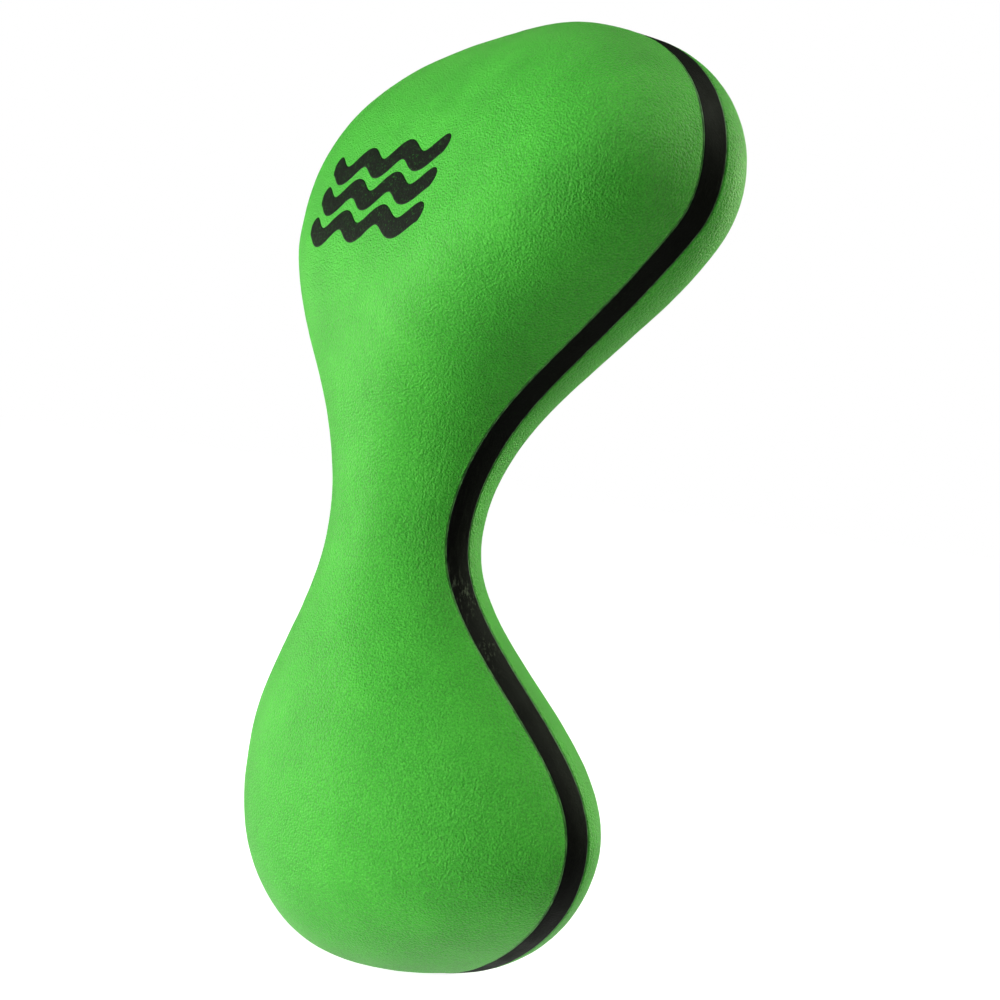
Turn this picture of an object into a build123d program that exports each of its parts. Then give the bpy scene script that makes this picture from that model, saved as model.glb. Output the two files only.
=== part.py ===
"""A pull buoy: two blocks of closed-cell foam bonded to a thin middle sheet, shaped to a figure-8.

Millimetres. +Z is the long axis with the larger lobe up, +X the width, +Y the back.
The origin is the middle of the whole shape.
"""

from build123d import *
from dataclasses import dataclass
from math import atan, cos, copysign, pi, sin
import os

# ---- driving dimensions -----------------------------------------------------------------------


@dataclass
class Lobe:
    """How far one lobe stands out, sideways or towards one face."""

    size: float
    z: float  # where it is fullest
    fullness: float = 2.0  # of its end: 2 is half an ellipse, more is squarer
    taper: float = 0.0  # the share by which its end narrows like an egg's
    flare: float = 1.0  # over 1 keeps the waist narrow for longer before the lobe swells


length = 240.0  # tip to tip
half_length = length / 2
waist_z = -9.0

# half the width, left and right alike
upper_side = Lobe(size=74.0, z=80.0, fullness=2.1, flare=1.25)
lower_side = Lobe(size=60.0, z=-76.0, taper=0.28)
waist_side = 24.0

# from the middle of the sheet to the front face
upper_front = Lobe(size=46.0, z=62.0)
lower_front = Lobe(size=52.0, z=-73.0, fullness=2.7)
waist_front = 20.5

# from the middle of the sheet to the back face
upper_back = Lobe(size=21.5, z=62.0)
lower_back = Lobe(size=23.0, z=-73.0, fullness=2.7)
waist_back = 14.5

# how square the cross sections are: 2 is an ellipse, more is squarer
upper_section_power = 3.4
waist_section_power = 2.0
lower_section_power = 2.0

# the middle sheet is flat in the lobes and bows towards the front at the waist
sheet_thickness = 6.0
glue_thickness = 0.2
sheet_back = 14.6  # how far behind the origin it lies in the lobes
sheet_bow = 22.0
sheet_bow_top_z = 84.0
sheet_bow_bottom_z = -75.0

# three wave bands printed on the front of the larger lobe
print_thickness = 0.15
mark_z = 70.5
wave_length = 21.0
waves = 3
wave_height = 4.0
wave_band = 5.2
wave_pitch = 8.2

# how finely the body is drawn
body_sections = 24
outline_points = 17
sheet_points = 9
tip_angle = 0.02  # radians short of each tip, where the body ends in a small flat
reach = 150.0  # further out than any part of the body


# ---- shape along the long axis -----------------------------------------------------------------


def ease(fraction):
    """0 to 1 with a level start and end."""
    return (1 - cos(pi * fraction)) / 2


def lobe_size(lobe, waist, z):
    """How far the shape reaches at z, between the waist and this lobe's own tip."""
    tip_z = copysign(half_length, lobe.z)
    beyond = (z - lobe.z) / (tip_z - lobe.z)
    if beyond > 0:
        return lobe.size * (1 - beyond**lobe.fullness) ** (1 / lobe.fullness) * (1 - lobe.taper * beyond**2)
    swell = ease(((z - waist_z) / (lobe.z - waist_z)) ** lobe.flare)
    return waist + (lobe.size - waist) * swell


def figure_eight(upper, waist, lower, z):
    """A distance from the axis that is full at each lobe, least at the waist and zero at each tip."""
    return lobe_size(upper if z > waist_z else lower, waist, z)


def half_width(z):
    return figure_eight(upper_side, waist_side, lower_side, z)


def front_depth(z):
    return figure_eight(upper_front, waist_front, lower_front, z)


def back_depth(z):
    return figure_eight(upper_back, waist_back, lower_back, z)


def away_from_waist(z, top_z, bottom_z):
    """0 at the waist, 1 at and beyond the two given stations."""
    end_z = top_z if z > waist_z else bottom_z
    return ease(min((z - waist_z) / (end_z - waist_z), 1))


def sheet_y(z):
    """Where the middle of the sheet is, front to back."""
    return sheet_back - sheet_bow * (1 - away_from_waist(z, sheet_bow_top_z, sheet_bow_bottom_z))


def section_power(z):
    lobe_power = upper_section_power if z > waist_z else lower_section_power
    share = away_from_waist(z, upper_side.z, lower_side.z)
    return waist_section_power + (lobe_power - waist_section_power) * share


# ---- helpers that draw solids -------------------------------------------------------------------


def right_half_outline(z, grow):
    """Points around the +X half of a cross section, from the front centre to the back centre."""
    exponent = 2 / section_power(z)
    points = []
    for step in range(outline_points):
        angle = pi * (step / (outline_points - 1) - 0.5)
        depth = (front_depth(z) if angle < 0 else back_depth(z)) + grow
        across = (half_width(z) + grow) * abs(cos(angle)) ** exponent
        behind = copysign(depth * abs(sin(angle)) ** exponent, angle)
        points.append((across, sheet_y(z) + behind))
    points[0] = (0, points[0][1])
    points[-1] = (0, points[-1][1])
    return points


def figure_eight_body(grow=0.0):
    """The whole outer shape as one solid, larger all round by grow."""
    sections = []
    for number in range(body_sections + 1):
        level = cos(tip_angle + (pi - 2 * tip_angle) * number / body_sections)
        outline = right_half_outline(half_length * level, grow)
        with BuildSketch(Plane.XY.offset((half_length + grow) * level)) as section:
            with BuildLine():
                Spline(*outline, tangents=((1, 0), (-1, 0)))
                Line(outline[-1], outline[0])
            make_face()
        sections.append(section.sketch.face())
    with BuildPart() as outer:
        loft(sections=sections)
        mirror(about=Plane.YZ)
    return outer.part


def sheet_edge(distance):
    """Points in the YZ plane along a line that is the given distance behind the middle of the sheet."""
    points = []
    for step in range(sheet_points):
        z = sheet_bow_bottom_z + (sheet_bow_top_z - sheet_bow_bottom_z) * step / (sheet_points - 1)
        small = 0.01
        slope = atan((sheet_y(z + small) - sheet_y(z - small)) / (2 * small))
        points.append((sheet_y(z) + distance * cos(slope), z - distance * sin(slope)))
    return points


def slab(front, back):
    """Everything between two distances behind the middle of the sheet, right across the body."""
    with BuildPart() as region:
        with BuildSketch(Plane.YZ):
            with BuildLine():
                for distance in (front, back):
                    low = (sheet_back + distance, -reach)
                    high = (sheet_back + distance, reach)
                    if abs(distance) == reach:
                        Line(low, high)
                    else:
                        edge = Spline(*sheet_edge(distance), tangents=((0, 1), (0, 1)))
                        Line(low, edge @ 0)
                        Line(edge @ 1, high)
                for level in (-reach, reach):
                    Line((sheet_back + front, level), (sheet_back + back, level))
            make_face()
        extrude(amount=reach, both=True)
    return region.part


# ---- the layers -------------------------------------------------------------------------------

body = figure_eight_body()
sheet_face = sheet_thickness / 2
glue_face = sheet_face + glue_thickness

with BuildPart() as front_foam:
    add(body)
    add(slab(-reach, -glue_face), mode=Mode.INTERSECT)
front_foam.part.label = "front_foam"

with BuildPart() as front_glue_film:
    add(body)
    add(slab(-glue_face, -sheet_face), mode=Mode.INTERSECT)
front_glue_film.part.label = "front_glue_film"

with BuildPart() as middle_layer:
    add(body)
    add(slab(-sheet_face, sheet_face), mode=Mode.INTERSECT)
middle_layer.part.label = "middle_layer"

with BuildPart() as rear_glue_film:
    add(body)
    add(slab(sheet_face, glue_face), mode=Mode.INTERSECT)
rear_glue_film.part.label = "rear_glue_film"

with BuildPart() as rear_foam:
    add(body)
    add(slab(glue_face, reach), mode=Mode.INTERSECT)
rear_foam.part.label = "rear_foam"

# ---- the printed mark ---------------------------------------------------------------------------

with BuildPart() as printed_mark:
    with BuildSketch(Plane.XZ):
        for row in (-1, 0, 1):
            with BuildLine():
                base = mark_z + row * wave_pitch
                turns = []
                for turn in range(2 * waves + 1):
                    rise = wave_height / 2 * (-1) ** turn
                    turns.append((wave_length * (turn - waves) / 2, base + rise))
                Spline(*turns, tangents=[(1, 0)] * len(turns))
            trace(line_width=wave_band)
    extrude(amount=reach)
    add(figure_eight_body(print_thickness), mode=Mode.INTERSECT)
    add(body, mode=Mode.SUBTRACT)
printed_mark.part.label = "printed_mark"

# ---- one file for each piece ----------------------------------------------------------------------

os.makedirs("parts", exist_ok=True)
for piece in (front_foam, front_glue_film, middle_layer, rear_glue_film, rear_foam, printed_mark):
    export_step(piece.part, f"parts/{piece.part.label}.step")
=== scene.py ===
"""A pull buoy: two green foam blocks bonded to a thin black sheet, with a printed wave mark.

Metres, in the part's own frame: +Z up through the larger lobe, +X the width, -Y the printed front.
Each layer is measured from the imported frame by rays, then gets its fine relief, worn edges and finish.
"""

from dataclasses import dataclass
from math import cos, pi, radians, sin

import bmesh
import bpy
import numpy as np
from mathutils import Matrix, Vector, noise
from mathutils.bvhtree import BVHTree


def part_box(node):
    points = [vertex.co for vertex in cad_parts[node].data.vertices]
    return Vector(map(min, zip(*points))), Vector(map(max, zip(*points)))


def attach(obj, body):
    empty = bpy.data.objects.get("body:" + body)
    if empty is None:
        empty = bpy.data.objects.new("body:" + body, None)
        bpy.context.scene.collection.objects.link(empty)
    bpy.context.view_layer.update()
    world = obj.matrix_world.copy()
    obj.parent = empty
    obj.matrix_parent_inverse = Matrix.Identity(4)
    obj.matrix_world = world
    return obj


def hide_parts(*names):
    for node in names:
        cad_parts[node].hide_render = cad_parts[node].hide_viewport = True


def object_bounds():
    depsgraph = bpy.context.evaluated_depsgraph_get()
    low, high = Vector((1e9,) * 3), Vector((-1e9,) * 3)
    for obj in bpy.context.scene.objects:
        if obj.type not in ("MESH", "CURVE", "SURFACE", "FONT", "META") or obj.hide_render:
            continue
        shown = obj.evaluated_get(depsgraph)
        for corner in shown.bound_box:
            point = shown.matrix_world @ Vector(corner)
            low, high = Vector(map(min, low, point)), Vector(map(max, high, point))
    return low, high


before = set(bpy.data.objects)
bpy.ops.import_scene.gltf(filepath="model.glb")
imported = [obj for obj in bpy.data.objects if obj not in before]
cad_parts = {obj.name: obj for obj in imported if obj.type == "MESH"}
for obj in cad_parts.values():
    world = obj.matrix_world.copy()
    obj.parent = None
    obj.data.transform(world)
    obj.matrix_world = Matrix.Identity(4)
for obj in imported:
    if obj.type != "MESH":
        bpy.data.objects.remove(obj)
cad_low, cad_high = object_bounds()

MM = 0.001

# ---- how finely the layers are measured ---------------------------------------------------------

levels = 420  # rings from tip to tip
skin_columns = 190  # from the seam to the middle of a block, on one side
seam_crowding = 2.5  # how much closer the columns stand near the seam
sheet_columns = 24  # across the edge of the black sheet
glue_columns = 4
flat_columns = 14  # across a bonded face, which is hidden
tip_angle = 0.07  # radians from each tip: nearer than this, a ring is the last measured one, shrunk
smoothing_passes = 6  # takes out the facets of the measured mesh
outside = 0.3  # further out than any point of the object
margin = 0.35 * MM  # rays along a bonded face keep this far inside it
ray_nudge = 0.002 * MM  # a ray that slips between two facets is tried again this far away

# ---- relief ---------------------------------------------------------------------------------------

foam_edge_radius = 0.3 * MM
sheet_edge_radius = 0.25 * MM
glue_edge_radius = 0.03 * MM
glue_recess = 0.08 * MM
ground_waves = ((14.0 * MM, 0.14 * MM), (4.5 * MM, 0.05 * MM), (1.5 * MM, 0.022 * MM))
sheet_waves = ((9.0 * MM, 0.05 * MM), (2.0 * MM, 0.02 * MM))
wear_width = 1.4 * MM  # how far the worn edge reaches from the seam
scuff_and_highlight_drop = 27 * MM  # the scuff marks and the painted highlight on the sheet gather this far below the middle
scuff_and_highlight_reach = 13 * MM

# ---- the printed mark: shares of the CAD mark's box ------------------------------------------------

print_rows = 3
waves_per_row = 3
print_lift = 0.07 * MM
print_root = 0.06 * MM  # how deep the print reaches into the foam
print_steps = 300  # along each wave band
print_columns = 15  # across it
print_edge_drop = 0.8  # the share of its lift that the ink loses at its edges
print_edge_power = 8  # more keeps the ink level for longer before it drops
narrowest_end = 0.02  # of the band's width, at its round ends
row_pitch_share = 0.323
wave_height_share = 0.154
band_share = 0.2

# ---- the view -----------------------------------------------------------------------------------

camera_yaw = radians(59.9)
camera_pitch = radians(1.0)
camera_roll = radians(-8.14)
camera_distance = 1.7658  # this and the next two are shares of the object's length
camera_right = 0.006
camera_up = 0.0033
sheet_half_thickness = 3 * MM  # the camera looks at the middle of the sheet
lens_mm = 59.4
sensor_mm = 36.0

# ---- the studio -----------------------------------------------------------------------------------

ambient = 0.008  # strength of the white light all round
floor_radius = 12.0
floor_gap = 0.2 * MM
floor_glow = 0.95  # what the camera sees of the floor near the buoy; further out it is plain white
floor_glow_reach = (0.1, 0.6)
floor_bounce = 0.65  # a soft light from the floor right below the buoy, which fades outwards
floor_bounce_reach = (0.04, 0.15)


@dataclass
class Lamp:
    """A square soft light. toward is its direction from the buoy: camera right, up and back shares."""

    name: str
    toward: tuple
    watts: float
    colour: tuple = (1, 1, 1)
    size: float = 0.5
    distance: float = 1.0


lamps = (
    Lamp("key", (-0.75, 0.3, 0.6), 9.0),
    Lamp("left", (-1.0, 0.0, 0.25), 6.5),
    Lamp("low_left", (-0.9, -0.25, 0.2), 1.2, size=0.3, distance=0.45),
    Lamp("left_edge", (-1.0, 0.0, -0.45), 8.5, colour=(0.95, 1.0, 0.85)),
    Lamp("top", (0.0, 1.0, 0.3), 1.6),
    Lamp("right_above", (0.8, 0.8, 0.05), 5.4, colour=(0.9, 1.0, 0.78)),
    Lamp("rim", (1.0, 0.15, -0.5), 8.0, colour=(0.85, 1.0, 0.7), size=0.6),
)


# ---- measuring the frame ----------------------------------------------------------------------------


def tree_of(thing):
    """A search tree over an object's mesh, for rays."""
    mesh = thing.data
    return BVHTree.FromPolygons([v.co for v in mesh.vertices], [p.vertices for p in mesh.polygons])


def reach(tree, start, direction):
    """How far the surface is from start along direction, or None if the ray meets nothing."""
    for nudge in (0.0, ray_nudge, -ray_nudge):
        far = tree.ray_cast(Vector(start) + Vector((0, 0, nudge)), direction)[3]
        if far is not None:
            return far
    return None


def face_y(node, side, z):
    """Where a node's front (side -1) or back (side +1) is on the middle plane at height z, or None."""
    far = reach(trees[node], (0, side * outside, z), (0, -side, 0))
    return None if far is None else side * (outside - far)


def edge_profile(z):
    """Places front to back near the seams, and how far out the object's side is at each."""
    places, sides = [], []
    for node, shares in (("front_foam", (1,)), ("middle_layer", (0, 0.5, 1)), ("rear_foam", (0,))):
        front, back = face_y(node, -1, z), face_y(node, 1, z)
        if front is None or back is None:
            continue
        inset = min(margin, (back - front) / 3)
        for share in shares:
            y = front + inset + (back - front - 2 * inset) * share
            side = reach(trees[node], (0, y, z), (1, 0, 0))
            if side is not None:
                places.append(y)
                sides.append(side)
    return places, sides


def ring_angles():
    """Angles from the upper tip to the lower one, and the same kept clear of both tips."""
    angles = np.linspace(0, pi, levels + 1)[1:-1]
    return angles, np.clip(angles, tip_angle, pi - tip_angle)


def smooth(grid):
    """The grid with the facets of the measured mesh averaged away."""
    for _ in range(smoothing_passes):
        for axis in range(2):
            widths = [(1, 1) if number == axis else (0, 0) for number in range(grid.ndim)]
            wide = np.pad(grid, widths, mode="edge")
            before, here, after = [np.take(wide, range(k, k + grid.shape[axis]), axis) for k in (0, 1, 2)]
            grid = (before + 2 * here + after) / 4
    return grid


def mirrored(grid):
    return grid * np.array((-1, 1, 1))


def skin_normals(skin):
    """Outward unit normals of a grid of points that wraps round the Z axis."""
    normals = np.cross(np.gradient(skin, axis=0), np.gradient(skin, axis=1))
    normals /= np.maximum(np.linalg.norm(normals, axis=2, keepdims=True), 1e-12)
    middle = skin[len(skin) // 2]
    outward = np.sum(normals[len(skin) // 2] * (middle - middle.mean(0)))
    return normals * np.sign(outward)


def relief(points, waves):
    """The height of soft random ground at each point: each wave has a length and a height."""
    heights = np.zeros(len(points))
    for length, height in waves:
        heights += height * np.array([noise.noise(Vector(p)) for p in points / length])
    return heights


def edge_inset(distance, radius):
    """How far a rounded edge falls back, by distance from the corner."""
    share = np.clip(1 - distance / radius, 0, 1)
    return radius * (1 - np.sqrt(1 - share**2))


def finish_skin(skin, distance, radius, waves):
    """The skin with its relief and its rounded edge."""
    normals = skin_normals(skin)
    ground = relief(skin.reshape(-1, 3), waves).reshape(distance.shape)
    return skin + normals * (ground - edge_inset(distance, radius))[..., None]


def to_rings(values, measured, angles):
    """Sizes measured on clear rings, smoothed, and shrunk to nothing towards both tips."""
    return smooth(values / np.sin(measured)[:, None]) * np.sin(angles)[:, None]


def block_rings(node, face_side):
    """Closed rings round a foam block. face_side is +1 if its bonded face looks along +Y, else -1."""
    low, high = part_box(node)
    middle, half = (low.z + high.z) / 2, (high.z - low.z) / 2
    angles, measured = ring_angles()
    steps = np.linspace(0, 1, skin_columns)
    turns = pi / 2 * np.sinh(seam_crowding * steps) / np.sinh(seam_crowding)
    faces = np.zeros((len(angles), 1))
    across = np.zeros((len(angles), skin_columns + 1))
    depth = np.zeros_like(across)
    for row, angle in enumerate(measured):
        z = middle + half * cos(angle)
        face, skin = face_y(node, face_side, z), face_y(node, -face_side, z)
        inset = min(margin, abs(face - skin) / 3)
        faces[row] = face
        across[row, 0] = np.interp(face, *edge_profile(z))
        centre = (0, face - face_side * inset, z)
        for column, turn in enumerate(turns):
            far = reach(trees[node], centre, (cos(turn), -face_side * sin(turn), 0))
            across[row, column + 1] = far * cos(turn)
            depth[row, column + 1] = inset + far * sin(turn)
    across, depth = to_rings(across, measured, angles), to_rings(depth, measured, angles)
    across[:, -1], depth[:, 0] = 0, 0
    heights = np.repeat((middle + half * np.cos(angles))[:, None], across.shape[1], axis=1)
    right = np.stack((across, smooth(faces) - face_side * depth, heights), axis=2)
    skin = np.concatenate((mirrored(right), right[:, -2::-1]), axis=1)
    distance = np.concatenate((depth, depth[:, -2::-1]), axis=1)
    skin = finish_skin(skin, distance, foam_edge_radius, ground_waves)
    shares = np.linspace(0, 1, flat_columns + 1)[1:-1, None]
    flat = skin[:, None, -1] * (1 - shares) + skin[:, None, 0] * shares
    wear = np.exp(-distance / wear_width)
    return np.concatenate((skin, flat), axis=1), np.concatenate((wear, np.ones(flat.shape[:2])), axis=1)


def layer_rings(node, before, behind, columns, radius, recess, waves):
    """Closed rings round a thin layer. before and behind are the nodes and sides its faces touch."""
    low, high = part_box(node)
    middle, half = (low.z + high.z) / 2, (high.z - low.z) / 2
    angles, measured = ring_angles()
    shares = (1 - np.cos(pi * np.linspace(0, 1, columns + 1))) / 2
    across = np.zeros((len(angles), len(shares)))
    faces = np.zeros((len(angles), 2))
    for row, angle in enumerate(measured):
        z = middle + half * cos(angle)
        faces[row] = face_y(*before, z), face_y(*behind, z)
        across[row] = np.interp(faces[row, 0] + np.ptp(faces[row]) * shares, *edge_profile(z))
    across = to_rings(across, measured, angles)
    across -= np.minimum(recess, across / 2)
    middles = smooth(faces.mean(axis=1, keepdims=True))
    halves = to_rings(np.ptp(faces, axis=1)[:, None] / 2, measured, angles)
    halves = np.minimum(halves, np.ptp(faces, axis=1)[:, None] / 2)
    heights = np.repeat((middle + half * np.cos(angles))[:, None], len(shares), axis=1)
    rim = np.stack((across, middles + halves * (2 * shares - 1), heights), axis=2)
    distance = 2 * halves * np.minimum(shares, 1 - shares)
    right = finish_skin(rim, distance, radius, waves)
    left = mirrored(right)[:, ::-1]
    steps = np.linspace(0, 1, flat_columns + 1)[1:-1, None]
    back = right[:, None, -1] * (1 - steps) + left[:, None, 0] * steps
    front = left[:, None, -1] * (1 - steps) + right[:, None, 0] * steps
    near = np.exp(-distance / wear_width)
    flat = np.ones(back.shape[:2])
    rings = np.concatenate((right, back, left, front), axis=1)
    return rings, np.concatenate((near, flat, near[:, ::-1], flat), axis=1)


def print_rings(tree, low, high, row):
    """Closed rings along one wave band of the mark, laid on the finished foam."""
    tall, wide = high.z - low.z, high.x - low.x
    base = (low.z + high.z) / 2 + (row - (print_rows - 1) / 2) * row_pitch_share * tall
    rise, half_band = wave_height_share * tall / 2, band_share * tall / 2
    rings = []
    for share in (1 - np.cos(pi * np.linspace(0, 1, print_steps))) / 2:
        x = low.x + wide * share
        turn = 2 * pi * waves_per_row * share
        slope = -rise * sin(turn) * 2 * pi * waves_per_row / wide
        along = Vector((1, 0, slope)).normalized()
        end = np.clip(1 - min(x - low.x, high.x - x) / half_band, 0, 1)
        half = half_band * max(np.sqrt(1 - end**2), narrowest_end)
        upper, lower = [], []
        for step in np.linspace(-1, 1, print_columns):
            spot_x = x - along.z * half * step
            spot_z = base + rise * cos(turn) + along.x * half * step
            spot, normal, _, _ = tree.ray_cast(Vector((spot_x, -outside, spot_z)), Vector((0, 1, 0)))
            edge = 1 - print_edge_drop * step**print_edge_power
            upper.append(spot + normal * print_lift * edge)
            lower.append(spot - normal * print_root)
        rings.append(upper + lower[::-1])
    return np.array(rings)


# ---- building meshes --------------------------------------------------------------------------------


def build(name, tubes, node, material):
    """One piece made of closed tubes, each a stack of rings shut by a point at both ends."""
    points, faces, wears, start = [], [], [], 0
    for rings, wear in tubes:
        count = rings.shape[0] * rings.shape[1]
        number = start + np.arange(count).reshape(rings.shape[:2])
        following = np.roll(number, -1, axis=1)
        quads = np.stack((number[:-1], following[:-1], following[1:], number[1:]), axis=2)
        faces += quads.reshape(-1, 4).tolist()
        for ring, tip in ((0, count), (-1, count + 1)):
            order = (following[ring], number[ring]) if ring == 0 else (number[ring], following[ring])
            faces += np.stack((*order, np.full(rings.shape[1], start + tip)), axis=1).tolist()
        points += [rings.reshape(-1, 3), rings[:1].mean(axis=1), rings[-1:].mean(axis=1)]
        wears += [wear.ravel(), wear[:1].mean(axis=1), wear[-1:].mean(axis=1)]
        start += count + 2
    mesh = bpy.data.meshes.new(name)
    mesh.from_pydata(np.concatenate(points).tolist(), [], faces)
    shape = bmesh.new()
    shape.from_mesh(mesh)
    if shape.calc_volume(signed=True) < 0:
        bmesh.ops.reverse_faces(shape, faces=shape.faces)
    shape.to_mesh(mesh)
    shape.free()
    mesh.polygons.foreach_set("use_smooth", [True] * len(mesh.polygons))
    mesh.attributes.new("wear", "FLOAT", "POINT").data.foreach_set("value", np.concatenate(wears))
    mesh.materials.append(material)
    piece = bpy.data.objects.new(name, mesh)
    bpy.context.collection.objects.link(piece)
    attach(piece, "root")
    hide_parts(node)
    return piece


# ---- materials --------------------------------------------------------------------------------------


def new_material(name):
    """An empty node material: the material, its node tree and its main shader."""
    material = bpy.data.materials.new(name)
    material.use_nodes = True
    nodes = material.node_tree.nodes
    nodes.clear()
    shader = nodes.new("ShaderNodeBsdfPrincipled")
    output = nodes.new("ShaderNodeOutputMaterial")
    material.node_tree.links.new(shader.outputs["BSDF"], output.inputs["Surface"])
    return material, material.node_tree, shader


def put(tree, socket, value):
    """Sets an input, or links it if the value is another node's output."""
    if isinstance(value, bpy.types.NodeSocket):
        tree.links.new(value, socket)
    else:
        socket.default_value = value


def place(tree, stretch=(1, 1, 1)):
    """The point being shaded, in metres, stretched."""
    point = tree.nodes.new("ShaderNodeTexCoord").outputs["Object"]
    mapping = tree.nodes.new("ShaderNodeMapping")
    put(tree, mapping.inputs["Vector"], point)
    mapping.inputs["Scale"].default_value = stretch
    return mapping.outputs["Vector"]


def grain(tree, size, detail=2.0, roughness=0.5, stretch=(1, 1, 1)):
    """Noise from 0 to 1 whose bumps are about size across."""
    texture = tree.nodes.new("ShaderNodeTexNoise")
    put(tree, texture.inputs["Vector"], place(tree, stretch))
    texture.inputs["Scale"].default_value = 1 / size
    texture.inputs["Detail"].default_value = detail
    texture.inputs["Roughness"].default_value = roughness
    return texture.outputs["Fac"]


def cells(tree, size):
    """The distance from the nearest of many scattered points, for foam cells."""
    texture = tree.nodes.new("ShaderNodeTexVoronoi")
    texture.feature = "SMOOTH_F1"
    put(tree, texture.inputs["Vector"], place(tree))
    texture.inputs["Scale"].default_value = 1 / size
    return texture.outputs["Distance"]


def span(tree, value, low, high, to_low=0.0, to_high=1.0):
    """The value moved from one range to another, and kept inside it."""
    node = tree.nodes.new("ShaderNodeMapRange")
    put(tree, node.inputs["Value"], value)
    ends = {"From Min": low, "From Max": high, "To Min": to_low, "To Max": to_high}
    for name, number in ends.items():
        node.inputs[name].default_value = number
    return node.outputs["Result"]


def maths(tree, operation, *values):
    """One sum on one or two values."""
    node = tree.nodes.new("ShaderNodeMath")
    node.operation = operation
    for socket, value in zip(node.inputs, values):
        put(tree, socket, value)
    return node.outputs["Value"]


def times(tree, first, second):
    return maths(tree, "MULTIPLY", first, second)


def plus(tree, first, second):
    return maths(tree, "ADD", first, second)


def blend(tree, share, first, second):
    """A colour between two others."""
    node = tree.nodes.new("ShaderNodeMix")
    node.data_type = "RGBA"
    put(tree, node.inputs["Factor"], share)
    colours = [socket for socket in node.inputs if socket.type == "RGBA"]
    for socket, value in zip(colours, (first, second)):
        put(tree, socket, value)
    return [socket for socket in node.outputs if socket.type == "RGBA"][0]


def bump(tree, shader, height, depth):
    """Fine relief: height 0 to 1 stands for depth."""
    node = tree.nodes.new("ShaderNodeBump")
    node.inputs["Distance"].default_value = depth
    put(tree, node.inputs["Height"], height)
    put(tree, shader.inputs["Normal"], node.outputs["Normal"])


def wear_of(tree):
    """1 at a seam, fading to 0 over the wear width."""
    node = tree.nodes.new("ShaderNodeAttribute")
    node.attribute_name = "wear"
    return node.outputs["Fac"]


def paint(tree, shader, colour, roughness, specular):
    """Sets the three things that every finish here has."""
    put(tree, shader.inputs["Base Color"], colour)
    put(tree, shader.inputs["Roughness"], roughness)
    shader.inputs["Specular IOR Level"].default_value = specular


foam_deep = (0.012, 0.25, 0.01, 1)
foam_mid = (0.026, 0.40, 0.019, 1)
foam_pale = (0.062, 0.54, 0.036, 1)
foam_rubbed = (0.13, 0.58, 0.09, 1)
foam_gloss_tint = (0.95, 1.0, 0.6, 1)
foam_sheen_tint = (1.0, 1.0, 0.7, 1)


def foam_material():
    """Closed-cell foam ground to shape: a suede-like grain, soft mottling and faint brushing."""
    material, tree, shader = new_material("green_foam")
    pebbles = grain(tree, 0.46 * MM, detail=3.0, roughness=0.7)
    pores = span(tree, cells(tree, 0.5 * MM), 0.1, 0.6)
    mottling = grain(tree, 16 * MM, detail=3.0, roughness=0.55)
    brushing = grain(tree, 0.9 * MM, stretch=(1, 1, 0.04))
    clouds = span(tree, mottling, 0.3, 0.7, to_high=0.3)
    speckle = span(tree, pebbles, 0.36, 0.64, to_high=0.7)
    tone = plus(tree, clouds, speckle)
    colour = blend(tree, span(tree, tone, 0.0, 0.5), foam_deep, foam_mid)
    colour = blend(tree, span(tree, tone, 0.5, 1.0), colour, foam_pale)
    near_seam = span(tree, wear_of(tree), 0.35, 1.0, to_high=0.35)
    worn = times(tree, near_seam, span(tree, pebbles, 0.3, 0.6))
    colour = blend(tree, worn, colour, foam_rubbed)
    paint(tree, shader, colour, span(tree, pebbles, 0.3, 0.7, 0.4, 0.56), specular=0.5)
    shader.inputs["Specular Tint"].default_value = foam_gloss_tint
    shader.inputs["Sheen Weight"].default_value = 0.12
    shader.inputs["Sheen Roughness"].default_value = 0.4
    shader.inputs["Sheen Tint"].default_value = foam_sheen_tint
    height = plus(tree, pebbles, times(tree, pores, 0.45))
    height = plus(tree, height, times(tree, brushing, 0.25))
    bump(tree, shader, height, 0.4 * MM)
    return material


sheet_deep = (0.0004, 0.0004, 0.0005, 1)
sheet_pale = (0.002, 0.0017, 0.002, 1)
sheet_rubbed = (0.035, 0.04, 0.033, 1)
# Pale olive grey for the scuff marks; it also paints a highlight on the sheet at the waist.
sheet_scuff_and_highlight = (0.085, 0.1, 0.07, 1)


def scuff_and_highlight_band(tree):
    """1 at the height where hands and legs rub scuff marks into the sheet and where a highlight is painted
    on it, and almost 0 beyond their reach.
    """
    split = tree.nodes.new("ShaderNodeSeparateXYZ")
    put(tree, split.inputs["Vector"], place(tree))
    away = maths(tree, "ABSOLUTE", plus(tree, split.outputs["Z"], scuff_and_highlight_drop))
    return span(tree, away, 0.3 * scuff_and_highlight_reach, scuff_and_highlight_reach, 1.0, 0.06)


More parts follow.
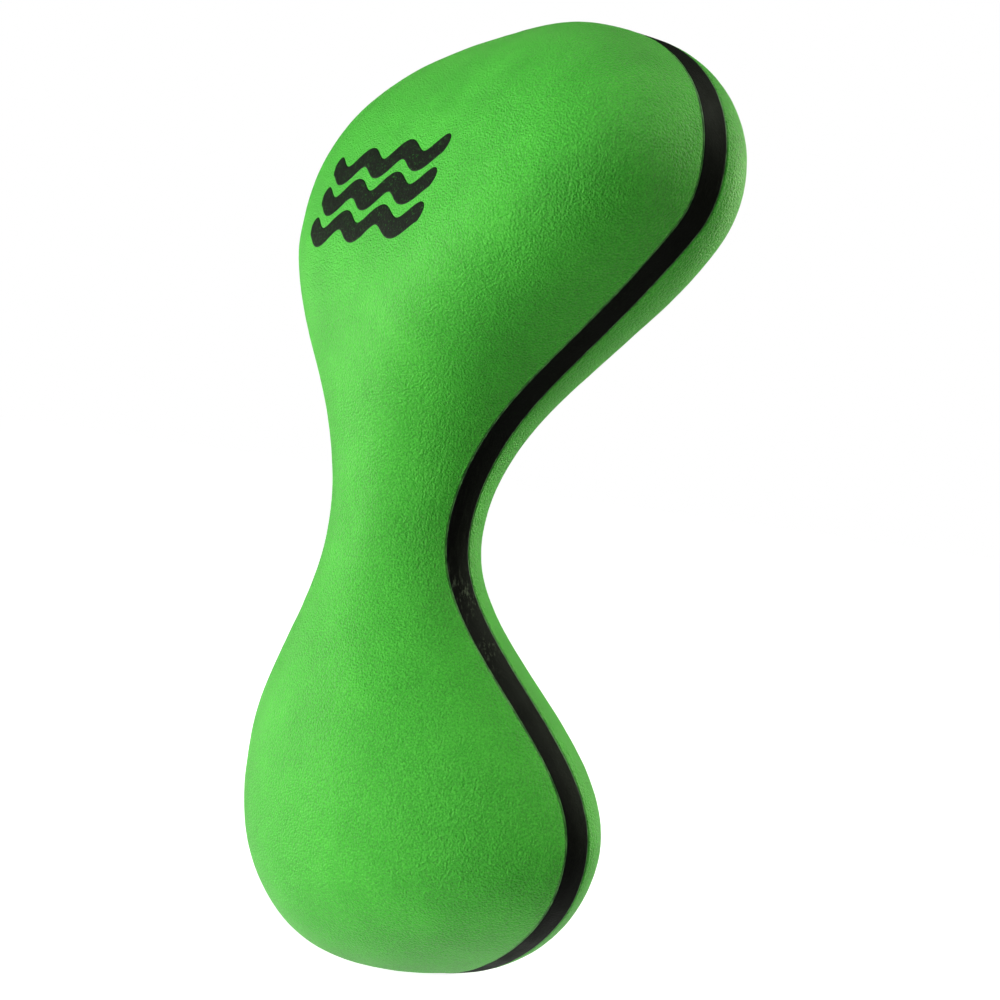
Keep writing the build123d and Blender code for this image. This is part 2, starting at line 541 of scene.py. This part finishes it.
def sheet_material():
    """Dense black foam sheet: satin cut edge with fine cells, rubbed corners, and pale scuff marks at the
    waist that also paint a highlight there.
    """
    material, tree, shader = new_material("black_sheet")
    fine = grain(tree, 0.45 * MM, roughness=0.6)
    smears = grain(tree, 6 * MM, detail=3.0, stretch=(1, 1, 0.5))
    scratches = grain(tree, 0.7 * MM, detail=4.0, roughness=0.7, stretch=(1, 1, 0.12))
    # Pale streaks at the waist: scuff marks, and with them a painted highlight.
    scuffs_and_highlight = times(tree, span(tree, scratches, 0.52, 0.68), span(tree, smears, 0.42, 0.6))
    scuffs_and_highlight = times(tree, scuffs_and_highlight, scuff_and_highlight_band(tree))
    colour = blend(tree, span(tree, fine, 0.3, 0.75), sheet_deep, sheet_pale)
    near_seam = span(tree, wear_of(tree), 0.75, 1.0, to_high=0.15)
    rubbed = times(tree, near_seam, span(tree, fine, 0.4, 0.7))
    colour = blend(tree, rubbed, colour, sheet_rubbed)
    colour = blend(tree, scuffs_and_highlight, colour, sheet_scuff_and_highlight)
    paint(tree, shader, colour, span(tree, smears, 0.3, 0.7, 0.5, 0.68), specular=0.06)
    bump(tree, shader, plus(tree, fine, times(tree, scratches, 0.6)), 0.1 * MM)
    return material


cement_deep = (0.015, 0.12, 0.012, 1)
cement_pale = (0.12, 0.36, 0.09, 1)


def glue_material():
    """A thin line of cured contact cement, uneven and stained by the foam."""
    material, tree, shader = new_material("glue")
    patches = grain(tree, 2.5 * MM, detail=3.0)
    fine = grain(tree, 0.4 * MM)
    colour = blend(tree, span(tree, patches, 0.35, 0.65), cement_deep, cement_pale)
    paint(tree, shader, colour, span(tree, fine, 0.3, 0.7, 0.35, 0.6), specular=0.5)
    bump(tree, shader, fine, 0.04 * MM)
    return material


ink_deep = (0.0015, 0.002, 0.0015, 1)
ink_pale = (0.008, 0.012, 0.007, 1)
foam_through_ink = (0.04, 0.25, 0.03, 1)


def ink_material():
    """Matte screen-print ink that the foam's pores break through."""
    material, tree, shader = new_material("ink")
    pebbles = grain(tree, 0.75 * MM, detail=3.0, roughness=0.6)
    specks = grain(tree, 0.5 * MM, detail=3.0, roughness=0.7)
    colour = blend(tree, span(tree, pebbles, 0.3, 0.7), ink_deep, ink_pale)
    colour = blend(tree, span(tree, specks, 0.62, 0.7), colour, foam_through_ink)
    paint(tree, shader, colour, span(tree, pebbles, 0.3, 0.7, 0.5, 0.75), specular=0.08)
    bump(tree, shader, pebbles, 0.12 * MM)
    return material


# ---- the pieces -------------------------------------------------------------------------------------

foam, sheet, glue, ink = foam_material(), sheet_material(), glue_material(), ink_material()
trees = {node: tree_of(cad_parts[node]) for node in ("front_foam", "middle_layer", "rear_foam")}
front_of_sheet, back_of_sheet = ("middle_layer", -1), ("middle_layer", 1)
face_of_front, face_of_rear = ("front_foam", 1), ("rear_foam", -1)

front_block = build("front_block", [block_rings(*face_of_front)], "front_foam", foam)
build("rear_block", [block_rings(*face_of_rear)], "rear_foam", foam)
sheet_rings = layer_rings(
    "middle_layer", front_of_sheet, back_of_sheet, sheet_columns, sheet_edge_radius, 0.0, sheet_waves
)
build("black_sheet", [sheet_rings], "middle_layer", sheet)
for side, *touching in (("front", face_of_front, front_of_sheet), ("rear", back_of_sheet, face_of_rear)):
    film = f"{side}_glue_film"
    glue_rings = layer_rings(film, *touching, glue_columns, glue_edge_radius, glue_recess, ())
    build(f"{side}_glue_line", [glue_rings], film, glue)

front_tree = tree_of(front_block)
mark_low, mark_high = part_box("printed_mark")
bands = [print_rings(front_tree, mark_low, mark_high, row) for row in range(print_rows)]
build("wave_print", [(rings, np.zeros(rings.shape[:2])) for rings in bands], "printed_mark", ink)


# ---- studio -----------------------------------------------------------------------------------------


def view_axes():
    """The camera's right, up and backward directions."""
    behind = Vector((sin(camera_yaw), -cos(camera_yaw), 0))
    back = behind * cos(camera_pitch) + Vector((0, 0, sin(camera_pitch)))
    level = Vector((cos(camera_yaw), sin(camera_yaw), 0))
    upright = back.cross(level)
    right = level * cos(camera_roll) - upright * sin(camera_roll)
    up = level * sin(camera_roll) + upright * cos(camera_roll)
    return right, up, back


def add_camera():
    length = cad_high.z - cad_low.z
    sheet_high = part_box("middle_layer")[1]
    right, up, back = view_axes()
    spot = Vector((0, sheet_high.y - sheet_half_thickness, 0))
    spot += (back * camera_distance + right * camera_right + up * camera_up) * length
    camera = bpy.data.objects.new("camera", bpy.data.cameras.new("camera"))
    camera.data.lens = lens_mm
    camera.data.sensor_width = sensor_mm
    camera.data.clip_start = 0.01
    turn = Matrix((right, up, back)).transposed().to_4x4()
    camera.matrix_world = Matrix.Translation(spot) @ turn
    bpy.context.collection.objects.link(camera)
    bpy.context.scene.camera = camera


def add_light(lamp):
    direction = sum((axis * share for axis, share in zip(view_axes(), lamp.toward)), Vector()).normalized()
    light = bpy.data.objects.new(lamp.name, bpy.data.lights.new(lamp.name, "AREA"))
    light.data.size = lamp.size
    light.data.energy = lamp.watts
    light.data.color = lamp.colour
    light.location = direction * lamp.distance
    light.rotation_mode = "QUATERNION"
    light.rotation_quaternion = direction.to_track_quat("Z", "Y")
    bpy.context.collection.objects.link(light)


def add_world():
    """Faint white light all round; the camera sees it as plain white."""
    world = bpy.data.worlds.new("studio")
    world.use_nodes = True
    tree = world.node_tree
    background = tree.nodes["Background"]
    rays = tree.nodes.new("ShaderNodeLightPath")
    put(tree, background.inputs["Strength"], span(tree, rays.outputs["Is Camera Ray"], 0, 1, ambient, 1.0))
    background.inputs["Color"].default_value = (1, 1, 1, 1)
    bpy.context.scene.world = world


def add_floor():
    """A plain pale floor that the buoy stands on, bright enough to run into the background."""
    material, tree, shader = new_material("floor")
    shader.inputs["Base Color"].default_value = (0.45, 0.45, 0.45, 1)
    shader.inputs["Roughness"].default_value = 0.9
    shader.inputs["Emission Color"].default_value = (1, 1, 1, 1)
    from_middle = tree.nodes.new("ShaderNodeVectorMath")
    from_middle.operation = "LENGTH"
    put(tree, from_middle.inputs[0], place(tree))
    away = from_middle.outputs["Value"]
    glow = span(tree, away, *floor_glow_reach, floor_glow, 1.0)
    bounce = span(tree, away, *floor_bounce_reach, floor_bounce, 0.0)
    camera_ray = tree.nodes.new("ShaderNodeLightPath").outputs["Is Camera Ray"]
    other_ray = maths(tree, "SUBTRACT", 1.0, camera_ray)
    strength = plus(tree, times(tree, camera_ray, glow), times(tree, other_ray, bounce))
    put(tree, shader.inputs["Emission Strength"], strength)
    spot = (0, 0, cad_low.z - floor_gap)
    bpy.ops.mesh.primitive_circle_add(vertices=96, radius=floor_radius, fill_type="NGON", location=spot)
    floor = bpy.context.object
    floor.name = "floor"
    floor.data.materials.append(material)


add_camera()
add_world()
add_floor()
for lamp in lamps:
    add_light(lamp)
bpy.context.scene.view_settings.view_transform = "Standard"
